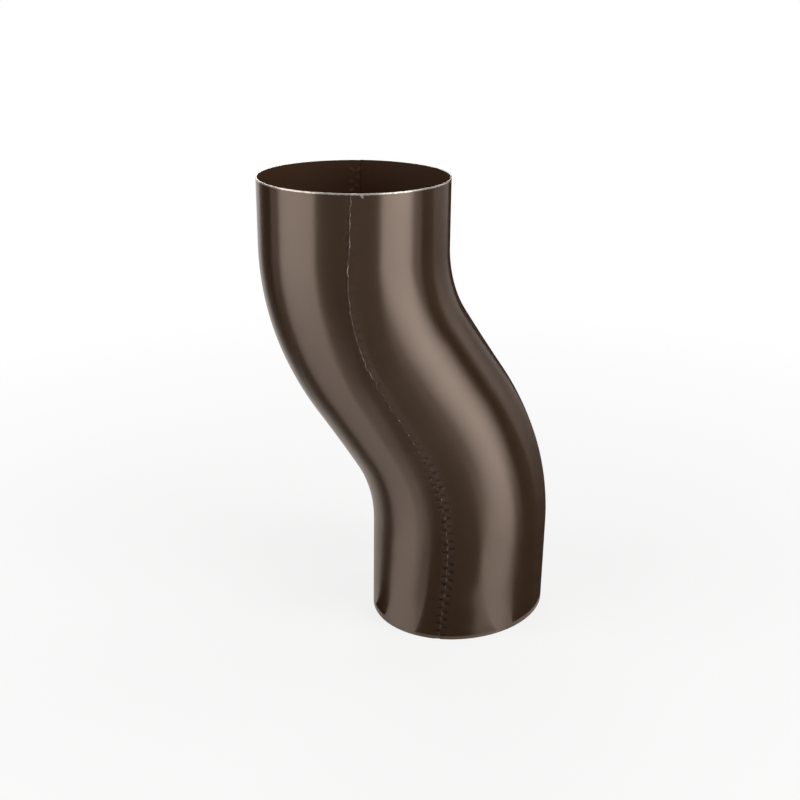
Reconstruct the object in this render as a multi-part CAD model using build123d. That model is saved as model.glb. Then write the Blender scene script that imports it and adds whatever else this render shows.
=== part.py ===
from build123d import *
from math import acos, atan2, cos, degrees, hypot, pi, radians, sin
import os

# Downpipe offset bend: two pressed half shells of coil-coated steel sheet, lapped along two seams.
# The origin is the centre of the lower end, Z runs up that end's axis, and the upper end lies towards -X.

# Sizes in millimetres
sheet = 0.6               # thickness of the sheet
socket_bore = 100.0       # inside diameter of the upper end, which takes the pipe above
socket_length = 36.0      # straight length of the upper end
spigot_diameter = 99.4    # outside diameter of the lower end, which slides into the pipe below
spigot_length = 52.0      # straight length of the lower end
offset = 60.0             # sideways step between the axes of the two ends
bend_radius = 115.0       # radius of each bend, measured to the pipe's centreline
middle_length = 40.0      # straight run between the two bends, which widens towards the socket
lap = 6.5                 # width of the strip along each seam where one half covers the other
joggle = 1.5              # width of the pressed step beside that strip
lap_gap = 0.05            # room for the paint between the two lapped sheets
edge_clearance = 0.5      # how far the covered edge stays short of the step that faces it

# How far round the pipe the seams lie off the plane across the S, towards -X, in degrees
seam_turn = 6.0

socket_radius = socket_bore / 2 + sheet
spigot_radius = spigot_diameter / 2
lap_step = sheet + lap_gap

# Angles that the seams take up round the pipe, the same all the way along
turn = radians(seam_turn)
lap_angle = lap / spigot_radius
joggle_angle = joggle / spigot_radius
covered_angle = (lap - edge_clearance) / spigot_radius

# Two equal bends and the straight run between them make up the offset
bend_angle = acos((2 * bend_radius - offset) / hypot(2 * bend_radius, middle_length))
bend_angle -= atan2(middle_length, 2 * bend_radius)

# Centreline of the S in the XZ plane, from the lower end to the upper one
lower_bend = JernArc((0, spigot_length), (0, 1), bend_radius, degrees(bend_angle))
middle = Line(lower_bend @ 1, lower_bend @ 1 + (lower_bend % 1) * middle_length)
upper_bend = JernArc(middle @ 1, middle % 1, bend_radius, -degrees(bend_angle))
lower_bend, middle, upper_bend = [Plane.XZ * run for run in (lower_bend, middle, upper_bend)]

def on_circle(radius, angle):
    return Vector(radius * cos(angle), radius * sin(angle))

def arc(radius, start, end):
    angles = (start, (start + end) / 2, end)
    return ThreePointArc([on_circle(radius, angle) for angle in angles])

def half_section(radius, rise, main_end, strip_start, strip_end):
    """Section of a half shell about the X direction: a main arc, and at each end a strip raised from it."""
    edges = []
    for skin in (radius, radius - sheet):
        strip = skin + rise
        edges.append(arc(strip, -strip_end, -strip_start))
        edges.append(Line(on_circle(strip, -strip_start), on_circle(skin, -main_end)))
        edges.append(arc(skin, -main_end, main_end))
        edges.append(Line(on_circle(skin, main_end), on_circle(strip, strip_start)))
        edges.append(arc(strip, strip_start, strip_end))
    for end in (-strip_end, strip_end):
        edges.append(Line(on_circle(radius + rise, end), on_circle(radius - sheet + rise, end)))
    return Face(Wire(edges))

def right_section(radius, lift):
    """The right half's strips cover the left half's, and stand proud of the pipe by the lift."""
    edge = pi / 2 + turn
    return half_section(radius, lift, edge - lap_angle - joggle_angle, edge - lap_angle, edge)

def left_section(radius, lift):
    """The left half's strips lie below the right half's, sunk by what is left of the lap's step."""
    edge = pi / 2 - turn
    half = half_section(radius, lift - lap_step, edge - joggle_angle, edge, edge + covered_angle)
    return Rot(Z=180) * half

def across(run, share):
    """The plane square to a run of the centreline, with its X direction in the plane of the S."""
    along = run % share
    return Plane(origin=run @ share, x_dir=(along.Z, 0, -along.X), z_dir=along)

def half_shell(section):
    """A half from end to end, with its laps outside at the socket and inside at the spigot."""
    lower = section(spigot_radius, 0)
    upper = section(socket_radius, lap_step)
    spigot = extrude(across(lower_bend, 0) * lower, amount=spigot_length, dir=(0, 0, -1))
    lower_part = sweep(across(lower_bend, 0) * lower, path=lower_bend)
    middle_part = loft([across(middle, 0) * lower, across(middle, 1) * upper], ruled=True)
    upper_part = sweep(across(upper_bend, 0) * upper, path=upper_bend)
    socket = extrude(across(upper_bend, 1) * upper, amount=socket_length, dir=(0, 0, 1))
    return spigot + lower_part + middle_part + upper_part + socket

half_shells = {
    "left_half_shell": half_shell(left_section),
    "right_half_shell": half_shell(right_section),
}

os.makedirs("parts", exist_ok=True)
for name, shell in half_shells.items():
    export_step(shell, f"parts/{name}.step")
    print(name, round(shell.volume), "mm3")
print("bend angle", round(degrees(bend_angle), 2), "degrees")
print("overall height", round((upper_bend @ 1).Z + socket_length, 2), "mm")
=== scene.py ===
# %% [markdown]
# # Downpipe offset bend
# This lesson dresses the offset bend of a rainwater pipe: two half shells of brown coil-coated steel,
# lapped and crimped along two seams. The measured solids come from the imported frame. Each half is modelled
# anew here, with the fine things that a solid leaves out: the crimped teeth, the bare cut edges and the
# paint.

# %% Start from the measured frame
import bmesh
import bpy
import math
from mathutils import Matrix, Vector, noise


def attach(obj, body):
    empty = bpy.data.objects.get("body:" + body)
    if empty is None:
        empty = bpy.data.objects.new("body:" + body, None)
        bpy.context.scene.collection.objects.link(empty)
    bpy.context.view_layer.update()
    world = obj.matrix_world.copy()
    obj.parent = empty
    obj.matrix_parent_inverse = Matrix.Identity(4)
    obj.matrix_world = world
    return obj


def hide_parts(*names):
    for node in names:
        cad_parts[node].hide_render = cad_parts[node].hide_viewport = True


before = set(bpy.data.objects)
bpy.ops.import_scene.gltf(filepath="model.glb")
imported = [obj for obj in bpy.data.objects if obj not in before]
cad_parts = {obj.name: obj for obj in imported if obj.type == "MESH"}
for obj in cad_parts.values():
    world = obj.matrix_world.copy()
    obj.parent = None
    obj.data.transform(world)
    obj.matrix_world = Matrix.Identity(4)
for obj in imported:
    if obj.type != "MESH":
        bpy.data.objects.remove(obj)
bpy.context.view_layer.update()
MILLIMETRE = 0.001    # the bend is worked out in millimetres, and Blender's unit is the metre

# %% [markdown]
# ## The line that the pipe follows
# The bend has a straight spigot below, two equal bends with a short straight run between them, and a
# straight socket above. A curve with a round bevel could make such a pipe, but its section couldn't change
# on the way. Here the line is a chain of small moves, so that any distance along it has a frame of its
# own.

# %% The line, in millimetres
SPIGOT_LENGTH = 52.0
SOCKET_LENGTH = 36.0
OFFSET = 60.0
BEND_RADIUS = 115.0
MIDDLE_LENGTH = 40.0
BEND_ANGLE = (math.acos((2 * BEND_RADIUS - OFFSET) / math.hypot(2 * BEND_RADIUS, MIDDLE_LENGTH))
              - math.atan2(MIDDLE_LENGTH, 2 * BEND_RADIUS))
BEND_LENGTH = BEND_RADIUS * BEND_ANGLE
S_LENGTH = 2 * BEND_LENGTH + MIDDLE_LENGTH
PIPE_LENGTH = SPIGOT_LENGTH + S_LENGTH + SOCKET_LENGTH


def straight(length):
    return Matrix.Translation((0, 0, length))


def bend(length, side):
    """A move round a bend whose centre lies on one side, -1 for -X and 1 for +X."""
    centre = Vector((side * BEND_RADIUS, 0, 0))
    turn = Matrix.Rotation(side * length / BEND_RADIUS, 4, "Y")
    return Matrix.Translation(centre) @ turn @ Matrix.Translation(-centre)


def line_frame(distance):
    """The frame at a distance from the lower end: its origin on the line, and Z along it."""
    place = Matrix.Identity(4)
    runs = ((SPIGOT_LENGTH, straight), (BEND_LENGTH, lambda d: bend(d, -1)), (MIDDLE_LENGTH, straight),
            (BEND_LENGTH, lambda d: bend(d, 1)), (SOCKET_LENGTH, straight))
    for length, move in runs:
        place = place @ move(min(max(distance, 0), length))
        distance -= length
    return place


top = line_frame(PIPE_LENGTH).translation
print("bend angle", round(math.degrees(BEND_ANGLE), 2), "degrees, upper end at", [round(v, 2) for v in top])

# %% [markdown]
# ## The form that the press gives
# The sheet isn't quite a round pipe. It widens a little from the spigot to the socket, the press draws it
# in at the throat of the S, and the thin lower end has sprung slightly out of round. A lattice could bend
# a round pipe so, but plain functions of the distance along the line are easier to read and to change, and
# both halves share them, so they stay matched.

# %% Radius and spring along the line
SHEET = 0.6
SOCKET_RADIUS = 50.6
SPIGOT_RADIUS = 49.7
THROAT = 1.5             # how far the sheet is drawn in, half way along the S
SPRING = 0.1257          # shear of the lower end along X, as a share of the depth along Y
SPRING_REACH = 187.0     # how far up the shear reaches


def ease(share):
    """From 0 to 1, level at both ends."""
    share = min(max(share, 0.0), 1.0)
    return share * share * (3 - 2 * share)


def s_share(distance):
    """How far along the S a place is, from 0 to 1."""
    return min(max((distance - SPIGOT_LENGTH) / S_LENGTH, 0.0), 1.0)


def pipe_radius(distance):
    """Outside radius of the pipe."""
    widening = (SOCKET_RADIUS - SPIGOT_RADIUS) * ease(s_share(distance))
    return SPIGOT_RADIUS + widening - THROAT * math.sin(math.pi * s_share(distance)) ** 2


def sprung(distance):
    """How far a section has sheared out of round."""
    return SPRING * max(1 - distance / SPRING_REACH, 0) ** 2


print("radius at the throat", round(pipe_radius(SPIGOT_LENGTH + S_LENGTH / 2), 2), "mm")

# %% [markdown]
# ## Where the seams run
# The seams don't run straight down the middle plane. On their way down they wander towards -X, with a
# small kink near the lower end. A seam could be a curve that cuts a round pipe in two. Here it is an angle
# at each distance, and both halves take their edges from it, so they always meet.

# %% The seams' turn along the line
SEAM_TURN = 1.4          # degrees off the middle plane at the upper end
SEAM_WANDER = 7.3        # degrees more on the way down
WANDER_TOP = 262.0       # distance at which the wander starts, and the length that it takes
WANDER_REACH = 165.0
WANDER_POWER = 0.75      # below 1, so that more of it comes early
SEAM_KINK = 1.2          # degrees back, and out again further down
KINK_TOP = 70.0
KINK_IN = 30.0
KINK_FOOT = 36.0
KINK_OUT = 20.0


def seam_turn(distance):
    """How far the seams lie off the middle plane, in radians."""
    wander = SEAM_WANDER * ease((max(WANDER_TOP - distance, 0) / WANDER_REACH) ** WANDER_POWER)
    kink = ease((KINK_TOP - distance) / KINK_IN) - ease((KINK_FOOT - distance) / KINK_OUT)
    return math.radians(SEAM_TURN + wander - SEAM_KINK * kink)


print("seams turned", [round(math.degrees(seam_turn(d)), 1) for d in (0, 60, 120, 180, 240)], "degrees")

# %% [markdown]
# ## The crimped teeth
# A toothed wheel was rolled down each lap. It pressed two staggered rows of short dents through both
# sheets, one row on each side of the cut edge, and that locks the halves together. Booleans could cut the
# dents, but a press only pushes sheet about. So the dents are a depth beside the seam, which both sheets
# follow. On the front the wheel only marked the upper end and bit harder lower down. On the back its first
# bite left a V under the rim.

# %% Depth of the teeth beside a cut edge
TOOTH_PITCH = 4.9
TOOTH_ACROSS = 2.4
TOOTH_ALONG = 1.5
TOOTH_DEPTH = 0.55
TOOTH_REACH = 5.0        # nothing is pressed further than this from the cut edge
TOOTH_ROWS = ((-1.8, 0.0, 0.25), (1.7, 0.5, -0.25))    # place beside the edge, shift in pitches, slant
TOOTH_STRENGTH = 0.8     # each tooth's share of the depth, and how much that varies
TOOTH_CHANGE = 0.9
TOOTH_STEP = 0.73        # step through the noise from tooth to tooth, and the noise's layers
FRONT_TEETH_LAYER = 4.0
BACK_TEETH_LAYER = 9.0
FIRST_TOOTH = 6.0        # below the rim, and the length over which the teeth come in
TOOTH_FADE = 4.0
FRONT_BITE = 0.2         # share of the depth above BITE_TOP, which is full BITE_GROWTH further down
BITE_TOP = 135.0
BITE_GROWTH = 50.0
BACK_BITE = 0.9
V_TOP = 3.6              # the V's upper and lower end, below the rim
V_FOOT = 6.5
V_MIDDLE = 0.4           # its place beside the edge, half its width at the foot, and its spread upwards
V_HALF_WIDTH = 0.7
V_SPREAD = 1.1
V_LINE = 0.5             # width and share of the depth of its arms
V_BITE = 0.8


def first_bite(beside, below_rim):
    """Depth of the V that the wheel left on the back."""
    off_arm = abs(beside - V_MIDDLE) - V_HALF_WIDTH - V_SPREAD * (V_FOOT - below_rim)
    return V_BITE * TOOTH_DEPTH * math.exp(-(off_arm / V_LINE) ** 2) * ease(below_rim - V_TOP)


def tooth_depth(beside, distance, front):
    """How deep the sheets are pressed at a place beside the cut edge, in millimetres."""
    below_rim = PIPE_LENGTH - distance
    if abs(beside) > TOOTH_REACH:
        return 0.0
    if not front and below_rim < V_FOOT:
        return first_bite(beside, below_rim)
    bite, layer = BACK_BITE, BACK_TEETH_LAYER
    if front:
        bite = FRONT_BITE + (1 - FRONT_BITE) * ease((BITE_TOP - distance) / BITE_GROWTH)
        layer = FRONT_TEETH_LAYER
    depth = 0.0
    for place, shift, slant in TOOTH_ROWS:
        out = beside - place
        number = round(distance / TOOTH_PITCH - shift)
        along = distance - (number + shift) * TOOTH_PITCH - slant * out
        strength = TOOTH_STRENGTH + TOOTH_CHANGE * noise.noise((number * TOOTH_STEP, place, layer))
        depth += strength * math.exp(-(2 * along / TOOTH_ALONG) ** 2 - (2 * out / TOOTH_ACROSS) ** 4)
    return TOOTH_DEPTH * bite * depth * ease((below_rim - FIRST_TOOTH) / TOOTH_FADE)


print("teeth along each seam:", len(TOOTH_ROWS) * int((PIPE_LENGTH - FIRST_TOOTH) / TOOTH_PITCH))

# %% [markdown]
# ## The flat blank
# Each half starts as a flat blank, a grid of columns and rows. The columns are narrow near its long edges,
# where the lap and the teeth are, and the rows are close enough to draw a tooth. An even grid as fine as
# that would have several times as many faces. The shears left the right half's edges slightly wavy.

# %% Columns, rows and the sheared edge
FINE_WIDTH = 9.0         # the strip of narrow columns along each long edge
FINE_COLUMNS = 18
MAIN_COLUMNS = 30
COLUMNS = 2 * FINE_COLUMNS + MAIN_COLUMNS
ROWS_PER_TOOTH = 10
ROWS = round(PIPE_LENGTH / TOOTH_PITCH * ROWS_PER_TOOTH)
WAVE_HEIGHT = 1.0
WAVE_LENGTH = 4.2
WAVE_DEPTH = 3.0         # how far into the sheet the wave is felt
WAVE_FROM = 100.0        # distance at which it starts, and the length over which it grows
WAVE_GROWTH = 60.0
FRONT_EDGE_LAYER = 1.0
BACK_EDGE_LAYER = 6.0


def from_edge(column, across):
    """How far a column lies from the blank's first long edge, on a half that is so far across."""
    if column <= FINE_COLUMNS:
        return FINE_WIDTH * column / FINE_COLUMNS
    if column >= COLUMNS - FINE_COLUMNS:
        return across - FINE_WIDTH * (COLUMNS - column) / FINE_COLUMNS
    return FINE_WIDTH + (across - 2 * FINE_WIDTH) * (column - FINE_COLUMNS) / MAIN_COLUMNS


def edge_wave(inwards, distance, front):
    """How far the sheared edge strays. The wave fades out a few millimetres in."""
    wave = noise.noise((distance / WAVE_LENGTH, 0.0, FRONT_EDGE_LAYER if front else BACK_EDGE_LAYER))
    return WAVE_HEIGHT * wave * max(1 - inwards / WAVE_DEPTH, 0) * ease((distance - WAVE_FROM) / WAVE_GROWTH)


print("blank:", COLUMNS, "columns and", ROWS, "rows")

# %% [markdown]
# ## The press, and the lap
# The blank is pressed to a half pipe. The strip along each long edge of the right half lies over the left
# half's strip. Above, it stands proud. Below, it is flush, and the strip under it steps in. So the socket
# keeps a round bore and the spigot a round outside. Two lofts could be bent to this, but one function that
# gives every point of a blank its place in its section keeps the sheets a fixed gap apart.

# %% Where a point of the blank goes
LAP = 6.5                # the right half's level strip, and the slope beside it
RIGHT_RAMP = 26.0
LAP_STEP = 0.65          # a sheet and the paint between
COVERED = 2.9            # how far the left half's edge reaches under the right half
LEFT_RAMP = 0.8          # the left half's step beside the seam
BACK_SHIFT = 1.5         # how far the back seam is set over


def press(column, distance, right):
    """A point's place in its section, how far in from an edge it is, if it is in front, and its dent."""
    radius = pipe_radius(distance)
    turn = seam_turn(distance)
    side = 1 if right else -1
    first = math.pi / 2 + side * turn + (0 if right else COVERED / radius)
    across = 2 * first * radius - side * BACK_SHIFT
    along = from_edge(column, across)
    inwards = min(along, across - along)
    front = column < COLUMNS / 2
    lift = LAP_STEP * ease(s_share(distance))
    if right:
        beside = inwards
        rise = lift * (1 - ease((inwards - LAP) / RIGHT_RAMP))
        along += edge_wave(inwards, distance, front) * (1 if front else -1)
    else:
        beside = COVERED - inwards
        rise = (lift - LAP_STEP) * ease((beside + LEFT_RAMP) / LEFT_RAMP)
    angle = first - along / radius
    dent = tooth_depth(beside, distance, front)
    radius += rise - dent
    return Vector((side * radius * math.cos(angle), -radius * math.sin(angle), 0)), inwards, front, dent


print("right half's front edge at the upper end:", [round(v, 2) for v in press(0, PIPE_LENGTH, True)[0]])

# %% [markdown]
# ## Where the paint is gone
# Shears cut through the paint, so a sheared edge shows zinc. The right half's two long edges are rubbed
# bright along the upper part of the bend, and lower down the teeth leave only specks of it. A chip is missing
# under the rim. Painting this by hand would be lost at the next change, so it is a number on each vertex,
# worked out with it.

# %% How bare a place is, from 0 to 1
RIM_BARE = 0.6           # width of the bare strip along the upper rim, and along the right half's edges
EDGE_BARE = 0.4
RUBBED_FROM = 125.0      # distance at which the rubbed stretch starts, and the length over which it grows
RUBBED_GROWTH = 45.0
RUBBED_SHARE = 0.66      # how bare it is, how much that varies, and over what length
RUBBED_CHANGE = 0.7
RUBBED_LENGTH = 6.0
RUBBED_LAYER = 3.0
SPECK_STRENGTH = 2.2
SPECK_LENGTH = 1.9
SPECK_LAYER = 8.0
SPECKS_BELOW = -0.13     # fewer specks at the lower end, and more from SPECKS_FROM upwards
SPECKS_ABOVE = 0.05
SPECKS_FROM = 60.0
SPECKS_GROWTH = 40.0
CHIP_PLACE = 6.4         # the chip's far corner, from the right half's edge
CHIP_SIZE = 2.9
CHIP_BARE = 0.8


def bare_share(inwards, distance, front, right):
    """How much of the paint is gone: 0 is painted and 1 is bare zinc."""
    below_rim = PIPE_LENGTH - distance
    bare = 1.0 if below_rim < RIM_BARE else 0.0
    if right and inwards < EDGE_BARE:
        rubbed = RUBBED_SHARE + RUBBED_CHANGE * noise.noise((distance / RUBBED_LENGTH, RUBBED_LAYER, 0.0))
        specks = SPECKS_BELOW + (SPECKS_ABOVE - SPECKS_BELOW) * ease((distance - SPECKS_FROM) / SPECKS_GROWTH)
        speck = SPECK_STRENGTH * (noise.noise((distance / SPECK_LENGTH, SPECK_LAYER, 0.0)) + specks)
        upper = ease((distance - RUBBED_FROM) / RUBBED_GROWTH)
        bare = max(bare, min(max(upper * rubbed + (1 - upper) * speck, 0.0), 1.0))
    if right and front and 0 < CHIP_PLACE - inwards < CHIP_SIZE - below_rim:
        bare = max(bare, CHIP_BARE)
    return bare


print("bare at the rim:", bare_share(FINE_WIDTH, PIPE_LENGTH, True, True))

# %% [markdown]
# ## From blank to half pipe
# `create_grid` makes the blank, one unit wide and long. Every vertex is pressed to its place in its
# section, and then each row of vertices is carried to its place on the line with one transform. The
# blank's own coordinates become the UV map, with U along the pipe, so the finish can follow the sheet.

# %% Press a blank


def face_outwards(bm):
    """Turn all faces round if the middle one looks at the line."""
    bm.normal_update()
    bm.faces.ensure_lookup_table()
    middle = bm.faces[len(bm.faces) // 2]
    away = middle.calc_center_median() - line_frame(PIPE_LENGTH / 2).translation
    if middle.normal.dot(away) < 0:
        bmesh.ops.reverse_faces(bm, faces=bm.faces)


def pressed_blank(name, right):
    """The mesh of a half, still without its thickness."""
    bm = bmesh.new()
    bmesh.ops.create_grid(bm, x_segments=COLUMNS, y_segments=ROWS, size=0.5)
    sheet_uv = bm.loops.layers.uv.new("sheet")
    bare = bm.verts.layers.float.new("bare")
    dented = bm.verts.layers.float.new("dented")
    place = {v: (round((v.co.x + 0.5) * COLUMNS), round((v.co.y + 0.5) * ROWS)) for v in bm.verts}
    rows = [[] for row in range(ROWS + 1)]
    for vertex, (column, row) in place.items():
        distance = row * PIPE_LENGTH / ROWS
        vertex.co, inwards, front, dent = press(column, distance, right)
        vertex[dented] = min(dent / TOOTH_DEPTH, 1.0)
        vertex[bare] = bare_share(inwards, distance, front, right)
        rows[row].append(vertex)
    for row, vertices in enumerate(rows):
        distance = row * PIPE_LENGTH / ROWS
        shear = Matrix.Identity(4)
        shear[0][1] = sprung(distance)
        carry = shear @ line_frame(distance)
        for vertex in vertices:
            vertex.co = carry @ vertex.co
    for face in bm.faces:
        face.smooth = True
        for loop in face.loops:
            column, row = place[loop.vert]
            loop[sheet_uv].uv = (row / ROWS, column / COLUMNS)
    face_outwards(bm)
    bmesh.ops.scale(bm, vec=[MILLIMETRE] * 3, verts=bm.verts)
    mesh = bpy.data.meshes.new(name)
    bm.to_mesh(mesh)
    bm.free()
    return mesh


left_mesh = pressed_blank("left_half", right=False)
right_mesh = pressed_blank("right_half", right=True)
print("faces of the pressed blanks:", len(left_mesh.polygons), "and", len(right_mesh.polygons))

# %% [markdown]
# ## The sheet's thickness
# The real halves are one thin sheet each. Modelling both skins by hand would double the work, so Solidify
# gives the sheet its thickness, inwards, and Bevel breaks its sharp edges. Solidify also hands the inside
# and the cut edges to materials of their own.

# %% Make the two half shells
EDGE_BREAK = 0.12
BREAK_ABOVE = 60         # degrees between two faces from which their edge is broken


def half_shell(name, mesh):
    """A half with its thickness and its broken edges, from the pressed mesh."""
    piece = bpy.data.objects.new(name, mesh)
    bpy.context.collection.objects.link(piece)
    thickness = piece.modifiers.new("sheet_thickness", "SOLIDIFY")
    thickness.thickness = SHEET * MILLIMETRE
    thickness.offset = -1
    thickness.material_offset = 1
    thickness.material_offset_rim = 2
    broken = piece.modifiers.new("broken_edges", "BEVEL")
    broken.width = EDGE_BREAK * MILLIMETRE
    broken.segments = 2
    broken.limit_method = "ANGLE"
    broken.angle_limit = math.radians(BREAK_ABOVE)
    broken.harden_normals = True
    print(name, "has", len(piece.modifiers), "modifiers")
    return piece


left_half = half_shell("left_half", left_mesh)
right_half = half_shell("right_half", right_mesh)

# %% [markdown]
# ## Colours and nodes
# Colours are written as sRGB hex, as a paint chart gives them, and shaders work in linear light. One
# function turns one into the other, and one adds a node with its settings and links.

# %% Helpers for materials


def linear(hex_colour):
    """A colour written as sRGB hex, in the linear values that shaders use."""
    values = [int(hex_colour[i:i + 2], 16) / 255 for i in (0, 2, 4)]
    return [v / 12.92 if v <= 0.04045 else ((v + 0.055) / 1.055) ** 2.4 for v in values] + [1.0]


def add_node(material, kind, inputs=(), **settings):
    """A node with its settings. Its inputs are values, or sockets to link."""
    tree = material.node_tree
    node = tree.nodes.new(kind)
    for name, value in settings.items():
        setattr(node, name, value)
    for name, value in dict(inputs).items():
        if isinstance(value, bpy.types.NodeSocket):
            tree.links.new(value, node.inputs[name])
        else:
            node.inputs[name].default_value = value
    return node


def new_material(name):
    """A material with a plain Principled shader, and that shader."""
    material = bpy.data.materials.new(name)
    material.use_nodes = True
    return material, material.node_tree.nodes["Principled BSDF"]


print("mid grey in linear light:", [round(v, 3) for v in linear("808080")])

# %% [markdown]
# ## Brown coil coat: its colour
# Coil-coated steel is painted flat on rollers, before it is cut. The coat is a dark brown with fine metal
# flakes in it, too fine to see one by one, so they are a share of metal in the shader. The colour drifts a
# little over the strip, the dents are darkened as painted shade, and zinc shows where the vertices say that
# the paint is gone. A scratchy noise breaks up the border between paint and zinc, which would otherwise be
# as soft as the mesh is coarse.

# %% The colour of the outside
ZINC = linear("D2C8BE")
MOTTLE_SIZE = 18.0       # millimetres, as the other sizes of patterns are
SCRATCH_SIZE = 1.5
FLAKES = 0.3             # share of metal in the paint, and in the dull zinc
ZINC_METAL = 0.6
brown_coat, coat = new_material("brown_coil_coat")
where = add_node(brown_coat, "ShaderNodeTexCoord")
mottle = add_node(brown_coat, "ShaderNodeTexNoise",
                  {"Vector": where.outputs["Object"], "Scale": 1 / (MOTTLE_SIZE * MILLIMETRE), "Detail": 3.0})
tone = add_node(brown_coat, "ShaderNodeMix",
                {0: mottle.outputs["Fac"], 6: linear("3C2919"), 7: linear("422E1E")}, data_type="RGBA")
dents = add_node(brown_coat, "ShaderNodeAttribute", attribute_name="dented")
# Painted shade: the dents are darkened towards 1C130D by their depth, standing in for the shade that falls in
# them.
dent_shade = add_node(brown_coat, "ShaderNodeMix",
                 {0: dents.outputs["Fac"], 6: tone.outputs[2], 7: linear("1C130D")}, data_type="RGBA")
worn = add_node(brown_coat, "ShaderNodeAttribute", attribute_name="bare")
scratchy = add_node(brown_coat, "ShaderNodeTexNoise",
                    {"Vector": where.outputs["Object"], "Scale": 1 / (SCRATCH_SIZE * MILLIMETRE)})
rubbed = add_node(brown_coat, "ShaderNodeMath",
                  {0: worn.outputs["Fac"], 1: scratchy.outputs["Fac"]}, operation="MULTIPLY")
bared = add_node(brown_coat, "ShaderNodeMapRange",
                 {"Value": rubbed.outputs[0], "From Min": 0.2, "From Max": 0.42})
colour = add_node(brown_coat, "ShaderNodeMix",
                  {0: bared.outputs[0], 6: dent_shade.outputs[2], 7: ZINC}, data_type="RGBA")
metal = add_node(brown_coat, "ShaderNodeMapRange",
                 {"Value": bared.outputs[0], "To Min": FLAKES, "To Max": ZINC_METAL})
print(brown_coat.name, "has", len(brown_coat.node_tree.nodes), "nodes for its colour")

# %% [markdown]
# ## Brown coil coat: its gloss
# The skin is semi-gloss. The rollers lay it down along the strip, so its gloss spreads much further along
# the pipe than round it, and that draws the long even bands. A brushed bump could spread the gloss too,
# but it sparkles. Anisotropy with the tangent along the UV map's U does it cleanly. The coat mirrors more
# than plain paint does, and a little warmer, as flakes under a clear skin do. A high IOR and a tint stand
# in for them.

# %% The gloss of the outside
PEEL_SIZE = 3.0          # the faint waves of the paint's skin, in millimetres
PEEL_HEIGHT = 0.003
gloss = add_node(brown_coat, "ShaderNodeMapRange",
                 {"Value": mottle.outputs["Fac"], "From Min": 0.3, "From Max": 0.7,
                  "To Min": 0.31, "To Max": 0.34})
peel = add_node(brown_coat, "ShaderNodeTexNoise",
                {"Vector": where.outputs["Object"], "Scale": 1 / (PEEL_SIZE * MILLIMETRE), "Detail": 1.0})
bump = add_node(brown_coat, "ShaderNodeBump",
                {"Height": peel.outputs["Fac"], "Distance": PEEL_HEIGHT * MILLIMETRE})
tangent = add_node(brown_coat, "ShaderNodeTangent", direction_type="UV_MAP", uv_map="sheet")
for socket, output in (("Base Color", colour.outputs[2]), ("Metallic", metal.outputs[0]),
                       ("Roughness", gloss.outputs[0]), ("Normal", bump.outputs["Normal"]),
                       ("Tangent", tangent.outputs["Tangent"])):
    brown_coat.node_tree.links.new(output, coat.inputs[socket])
coat.inputs["Anisotropic"].default_value = 1.0
coat.inputs["Specular IOR Level"].default_value = 1.0
coat.inputs["IOR"].default_value = 1.65
coat.inputs["Specular Tint"].default_value = linear("FFECDF")
print(brown_coat.name, "has", len(brown_coat.node_tree.nodes), "nodes in all")

# %% [markdown]
# ## Backing coat
# The inside gets one thinner backing coat of the same brown. It has no gloss to speak of, so the eye sees
# an even, dull dark brown. The bumps that the wheel's teeth pressed up on it are painted lighter, a painted
# highlight on their lit tops. The dents' own attribute places it, so no painted mask is needed.

# %% The inside
BACKING_MOTTLE = 12.0    # millimetres
backing_coat, backing = new_material("brown_backing_coat")
where = add_node(backing_coat, "ShaderNodeTexCoord")
mottle = add_node(backing_coat, "ShaderNodeTexNoise",
                  {"Vector": where.outputs["Object"], "Scale": 1 / (BACKING_MOTTLE * MILLIMETRE),
                   "Detail": 3.0})
tone = add_node(backing_coat, "ShaderNodeMix",
                {0: mottle.outputs["Fac"], 6: linear("442C1B"), 7: linear("493120")}, data_type="RGBA")
dents = add_node(backing_coat, "ShaderNodeAttribute", attribute_name="dented")
# Painted highlight: the teeth's bumps on the inside are lightened towards 5A4734 by their depth.
bump_highlight = add_node(backing_coat, "ShaderNodeMix",
                   {0: dents.outputs["Fac"], 6: tone.outputs[2], 7: linear("5A4734")}, data_type="RGBA")
backing_coat.node_tree.links.new(bump_highlight.outputs[2], backing.inputs["Base Color"])
backing.inputs["Metallic"].default_value = 0.1
backing.inputs["Roughness"].default_value = 0.65
backing.inputs["Specular IOR Level"].default_value = 0.2
print(backing_coat.name, "has", len(backing_coat.node_tree.nodes), "nodes")

# %% [markdown]
# ## Zinc edges
# The cut edges show zinc, the upper rim most of all, as a thin bright line. The lower rim and the left half's
# edges keep the paint that the shears dragged over them. Two materials could share the work, but one that
# blends from paint to metal by the same attribute as the outside meets it without a step. Then each half gets
# its three materials, in the order that Solidify counts them.

# %% The edges, and the materials of each half
zinc_edge, zinc = new_material("sheared_zinc_edge")
worn = add_node(zinc_edge, "ShaderNodeAttribute", attribute_name="bare")
tone = add_node(zinc_edge, "ShaderNodeMix",
                {0: worn.outputs["Fac"], 6: linear("38271C"), 7: ZINC}, data_type="RGBA")
zinc_edge.node_tree.links.new(tone.outputs[2], zinc.inputs["Base Color"])
zinc_edge.node_tree.links.new(worn.outputs["Fac"], zinc.inputs["Metallic"])
zinc.inputs["Roughness"].default_value = 0.4

for half, node in ((left_half, "left_half_shell"), (right_half, "right_half_shell")):
    for material in (brown_coat, backing_coat, zinc_edge):
        half.data.materials.append(material)
    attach(half, "root")
    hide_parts(node)
print("materials on each half:", [m.name for m in left_half.data.materials])

# %% [markdown]
# ## Floor
# The bend stands on a round white sweep. A low wall closes it far off, so that a level view sees white
# behind the bend too. A much larger plane would do the same, but the camera sees only so far. From here
# on, lengths are in metres.

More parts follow.
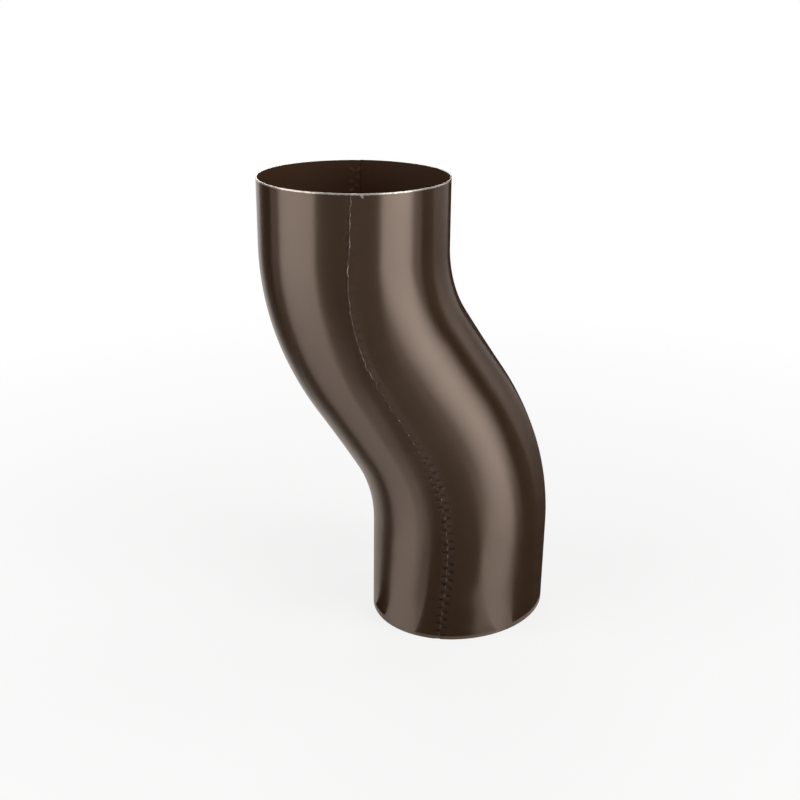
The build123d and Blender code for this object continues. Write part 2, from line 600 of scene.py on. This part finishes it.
# %% The sweep
SWEEP_RADIUS = 12.0
SWEEP_WALL = 1.5
SWEEP_SIDES = 96
floor_mesh = bpy.data.meshes.new("white_sweep")
bm = bmesh.new()
bmesh.ops.create_circle(bm, cap_ends=True, segments=SWEEP_SIDES, radius=SWEEP_RADIUS)
wall = bmesh.ops.extrude_edge_only(bm, edges=bm.edges[:])
raised = [v for v in wall["geom"] if isinstance(v, bmesh.types.BMVert)]
bmesh.ops.translate(bm, vec=(0, 0, SWEEP_WALL), verts=raised)
bm.to_mesh(floor_mesh)
bm.free()
floor = bpy.data.objects.new("white_sweep", floor_mesh)
bpy.context.collection.objects.link(floor)
print("floor:", [round(v, 1) for v in floor.dimensions], "m")

# %% [markdown]
# ## White paper
# Paper under studio lamps goes grey unless it gets more light than the bend. More lamps would wash out the
# brown, so camera and mirror rays see the paper glow white instead. Near the bend a share of its real
# shading is mixed in, and a soft shadow stays.

# %% The sweep's paper
SHADOW_NEAR = 0.1        # distances from the bend's foot between which the shading fades out
SHADOW_FAR = 0.6
SHADED_GLOW = 0.8        # share of the glow close to the bend
sweep, sweep_shader = new_material("white_sweep_paper")
sweep_shader.inputs["Base Color"].default_value = linear("F2F2F0")
sweep_shader.inputs["Roughness"].default_value = 0.9
glow = add_node(sweep, "ShaderNodeEmission")
path = add_node(sweep, "ShaderNodeLightPath")
seen = add_node(sweep, "ShaderNodeMath",
                {0: path.outputs["Is Camera Ray"], 1: path.outputs["Is Glossy Ray"]}, operation="MAXIMUM")
seen = add_node(sweep, "ShaderNodeMath",
                {0: seen.outputs[0], 1: path.outputs["Is Transmission Ray"]}, operation="MAXIMUM")
where = add_node(sweep, "ShaderNodeTexCoord")
away = add_node(sweep, "ShaderNodeVectorMath", {0: where.outputs["Object"]}, operation="LENGTH")
white = add_node(sweep, "ShaderNodeMapRange",
                 {"Value": away.outputs["Value"], "From Min": SHADOW_NEAR, "From Max": SHADOW_FAR,
                  "To Min": SHADED_GLOW, "To Max": 1.0})
share = add_node(sweep, "ShaderNodeMath", {0: seen.outputs[0], 1: white.outputs[0]}, operation="MULTIPLY")
mix = add_node(sweep, "ShaderNodeMixShader",
               {0: share.outputs[0], 1: sweep_shader.outputs[0], 2: glow.outputs[0]})
sweep.node_tree.links.new(mix.outputs[0], sweep.node_tree.nodes["Material Output"].inputs["Surface"])
floor_mesh.materials.append(sweep)
print(sweep.name, "has", len(sweep.node_tree.nodes), "nodes")

# %% [markdown]
# ## Softboxes
# Two tall softboxes stand on the left and on the right of the camera and draw the two long light bands.
# The right one leans, so that its band keeps its place along the S. A narrow panel on the right, further
# back, lights the far side, and a panel behind brightens the rim. Point lamps would draw hard streaks. A
# softbox is given by its radiance, so a change of its size doesn't change how bright its mirror image is.

# %% The lamps
AIM = Vector((-0.03, 0.0, 0.13))


def around(azimuth, distance, height):
    """A place round the bend. Azimuth 0 is the front, and it grows towards +X."""
    a = math.radians(azimuth)
    return Vector((AIM.x + math.sin(a) * distance, AIM.y - math.cos(a) * distance, height))


def softbox(name, azimuth, distance, height, width, tall, radiance, lean=0.0):
    """An area lamp that faces the bend on the level and leans by some degrees in its own plane."""
    lamp_data = bpy.data.lights.new(name, "AREA")
    lamp_data.shape = "RECTANGLE"
    lamp_data.size = width
    lamp_data.size_y = tall
    lamp_data.energy = radiance * math.pi * width * tall
    lamp = bpy.data.objects.new(name, lamp_data)
    bpy.context.collection.objects.link(lamp)
    lamp.location = around(azimuth, distance, height)
    facing = Vector((AIM.x, AIM.y, height)) - lamp.location
    leaning = Matrix.Rotation(math.radians(lean), 3, "Z").to_quaternion()
    lamp.rotation_euler = (facing.to_track_quat("-Z", "Y") @ leaning).to_euler()
    return lamp


softbox("left_softbox", azimuth=-70, distance=0.9, height=0.72, width=0.8, tall=1.4, radiance=2.3)
softbox("right_softbox", azimuth=57.5, distance=0.9, height=0.72, width=0.61, tall=1.4, radiance=3.7,
        lean=-14)
softbox("right_back_panel", azimuth=118, distance=0.9, height=1.1, width=0.34, tall=0.9, radiance=2.8)
softbox("back_panel", azimuth=180, distance=1.8, height=0.95, width=1.3, tall=0.7, radiance=4.0)

# %% [markdown]
# ## Dark cards
# A photographer sets dark cards round a glossy thing, and the gloss mirrors them as the dark bands between
# the light ones. Darker paint would lose the light bands too. Some cards here stand close to the bend, out
# of view, and most lie on the floor, because the camera looks down and the pipe mirrors the floor. The
# cards are for mirror rays only, so they neither shade the floor nor hide the bend.

# %% Cards that only mirror rays meet
CARD_LIFT = 0.002        # above the floor, and above the other cards
FOOT_CARD_LIFT = 0.003
FOOT_RADIUS = 0.046      # just inside the pipe's lower end
CARD_STEPS = 12
CAMERA_AZIMUTH = math.radians(-5.4)    # where the camera stands, seen from the pipe's foot
black_card, card_shader = new_material("black_card")
card_shader.inputs["Base Color"].default_value = linear("1A1A1A")
card_shader.inputs["Roughness"].default_value = 0.9
grey_card, grey_shader = new_material("grey_card")
grey_shader.inputs["Base Color"].default_value = linear("8C8C8C")
grey_shader.inputs["Roughness"].default_value = 0.9


def mirror_only(name, bm, paint):
    """A stage piece that only mirror rays meet."""
    mesh = bpy.data.meshes.new(name)
    bm.to_mesh(mesh)
    bm.free()
    card = bpy.data.objects.new(name, mesh)
    bpy.context.collection.objects.link(card)
    mesh.materials.append(paint)
    card.visible_camera = False
    card.visible_shadow = False
    card.visible_diffuse = False
    return card


def dark_card(name, start, end, near, far=0.0, tall=0.0, paint=black_card):
    """A card on the floor between two azimuths, or with a height a curved one that stands on it."""
    a = math.radians(start)
    outward = Vector((math.sin(a), -math.cos(a), 0))
    foot = outward * near + Vector((0, 0, CARD_LIFT))
    reach = Vector((0, 0, tall)) if tall else outward * (far - near)
    bm = bmesh.new()
    edge = bm.edges.new([bm.verts.new(foot), bm.verts.new(foot + reach)])
    bmesh.ops.spin(bm, geom=list(edge.verts) + [edge], cent=(0, 0, 0), axis=(0, 0, 1),
                   angle=math.radians(end - start), steps=CARD_STEPS)
    return mirror_only(name, bm, paint)


def foot_card(name, start, end, far):
    """A card on the floor from under the pipe. Its sides run as mirrored rays leave the foot."""
    bm = bmesh.new()
    bmesh.ops.create_grid(bm, x_segments=CARD_STEPS, y_segments=1, size=0.5)
    for vertex in bm.verts:
        leaving = math.radians(start + (vertex.co.x + 0.5) * (end - start))
        facing = (leaving + CAMERA_AZIMUTH) / 2
        reach = far * (vertex.co.y + 0.5)
        vertex.co = (FOOT_RADIUS * math.sin(facing) + reach * math.sin(leaving),
                     -FOOT_RADIUS * math.cos(facing) - reach * math.cos(leaving), FOOT_CARD_LIFT)
    return mirror_only(name, bm, black_card)


cards = [
    dark_card("left_card", start=-120, end=-96, near=0.24, tall=0.6),
    dark_card("right_card", start=76, end=100, near=0.24, tall=0.6),
    dark_card("right_back_card", start=145, end=180, near=0.24, tall=0.6),
    foot_card("left_floor_card", start=-122, end=-96, far=1.2),
    foot_card("right_floor_card", start=78, end=180, far=0.35),
    dark_card("front_floor_card", start=-50, end=-14, near=0.14, far=0.7),
    dark_card("front_far_card", start=-47, end=-11, near=0.7, far=1.8),
    dark_card("front_middle_card", start=-11, end=26, near=0.14, far=1.8, paint=grey_card),
    dark_card("right_back_floor_card", start=98, end=150, near=0.35, far=1.3),
    dark_card("front_near_card", start=-32, end=23, near=0.04, far=0.14),
]
print("cards:", len(cards))

# %% [markdown]
# ## World
# A dim grey room fills in what the lamps leave. A bright world would be simpler than lamps, but it would
# mirror evenly all round, and the bands would drown in it.

# %% The room
DIM_GREY = 0.05
world = bpy.data.worlds.new("studio")
bpy.context.scene.world = world
world.use_nodes = True
world.node_tree.nodes["Background"].inputs["Color"].default_value = [DIM_GREY] * 3 + [1.0]
print("world:", world.name)

# %% [markdown]
# ## Camera
# The camera's place, turn and focal length were fitted to the outline in the photograph, with the form
# above. Its turn is put together from three plain ones: round Z, then down, then a slight roll.

# %% The camera of the photograph
FOCAL_PIXELS = 1140.617
PICTURE_PIXELS = 800
SENSOR_WIDTH = 36
CAMERA_PLACE = (-0.05589, -0.59278, 0.34982)
TURN, PITCH, ROLL = math.radians(2.0), math.radians(20.878), math.radians(0.454)
camera_data = bpy.data.cameras.new("camera")
camera = bpy.data.objects.new("camera", camera_data)
bpy.context.collection.objects.link(camera)
camera_data.sensor_width = SENSOR_WIDTH
camera_data.lens = FOCAL_PIXELS * SENSOR_WIDTH / PICTURE_PIXELS
camera.location = CAMERA_PLACE
camera.rotation_euler = (Matrix.Rotation(-TURN, 3, "Z") @ Matrix.Rotation(math.pi / 2 - PITCH, 3, "X")
                         @ Matrix.Rotation(ROLL, 3, "Z")).to_euler()
bpy.context.scene.camera = camera
bpy.context.scene.view_settings.view_transform = "Standard"
print("lens", round(camera_data.lens, 2), "mm")
